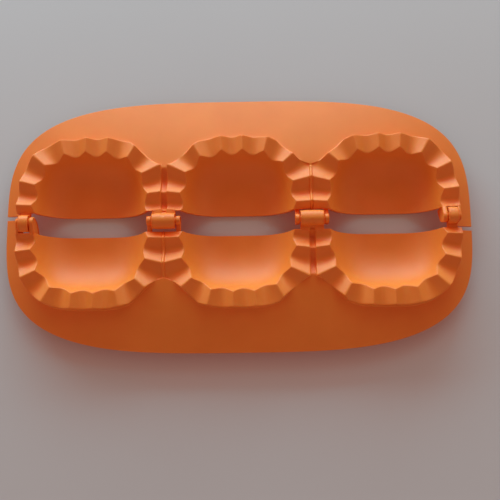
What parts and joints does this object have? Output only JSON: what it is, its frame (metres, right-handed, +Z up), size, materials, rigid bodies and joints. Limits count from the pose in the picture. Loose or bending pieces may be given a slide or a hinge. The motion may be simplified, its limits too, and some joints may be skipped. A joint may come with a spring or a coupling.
{
  "type": "empanada press",
  "caption": "Hinged folding press that cuts, shapes and crimps filled dough pockets between two halves with wavy rims.",
  "frame": {"origin": "centre of the open press, on the plane that the bowls' bottoms rest on", "axes": "+X along the hinge line and the press's length, +Y towards the rear half that folds over, +Z up out of the bowls"},
  "size_m": [0.2512, 0.139, 0.0218],
  "materials": {
    "moulded_plastic": "satin moulded polypropylene, bright orange"
  },
  "bodies": {
    "front_half": {"front_crimp_centre": "moulded_plastic", "front_crimp_left": "moulded_plastic", "front_crimp_right": "moulded_plastic", "front_end_clip": "moulded_plastic", "front_end_inner_ear": "moulded_plastic", "front_end_outer_ear": "moulded_plastic", "front_end_pin": "moulded_plastic", "front_middle_clip": "moulded_plastic", "front_middle_inner_ear": "moulded_plastic", "front_middle_outer_ear": "moulded_plastic", "front_middle_pin": "moulded_plastic", "front_pocket_centre": "moulded_plastic", "front_pocket_left": "moulded_plastic", "front_pocket_right": "moulded_plastic", "front_seal_groove": "moulded_plastic", "front_seal_rib": "moulded_plastic", "front_skirt_centre": "moulded_plastic", "front_skirt_left": "moulded_plastic", "front_skirt_right": "moulded_plastic"},
    "rear_half": {"rear_crimp_centre": "moulded_plastic", "rear_crimp_left": "moulded_plastic", "rear_crimp_right": "moulded_plastic", "rear_end_clip": "moulded_plastic", "rear_end_inner_ear": "moulded_plastic", "rear_end_outer_ear": "moulded_plastic", "rear_end_pin": "moulded_plastic", "rear_middle_clip": "moulded_plastic", "rear_middle_inner_ear": "moulded_plastic", "rear_middle_outer_ear": "moulded_plastic", "rear_middle_pin": "moulded_plastic", "rear_pocket_centre": "moulded_plastic", "rear_pocket_left": "moulded_plastic", "rear_pocket_right": "moulded_plastic", "rear_seal_groove": "moulded_plastic", "rear_seal_rib": "moulded_plastic", "rear_skirt_centre": "moulded_plastic", "rear_skirt_left": "moulded_plastic", "rear_skirt_right": "moulded_plastic"}
  },
  "joints": [
    {"name": "fold", "type": "hinge", "parent": "front_half", "child": "rear_half", "pos_m": [0, 0, 0.0178], "axis": [1, 0, 0], "range_deg": [0, 180]}
  ]
}
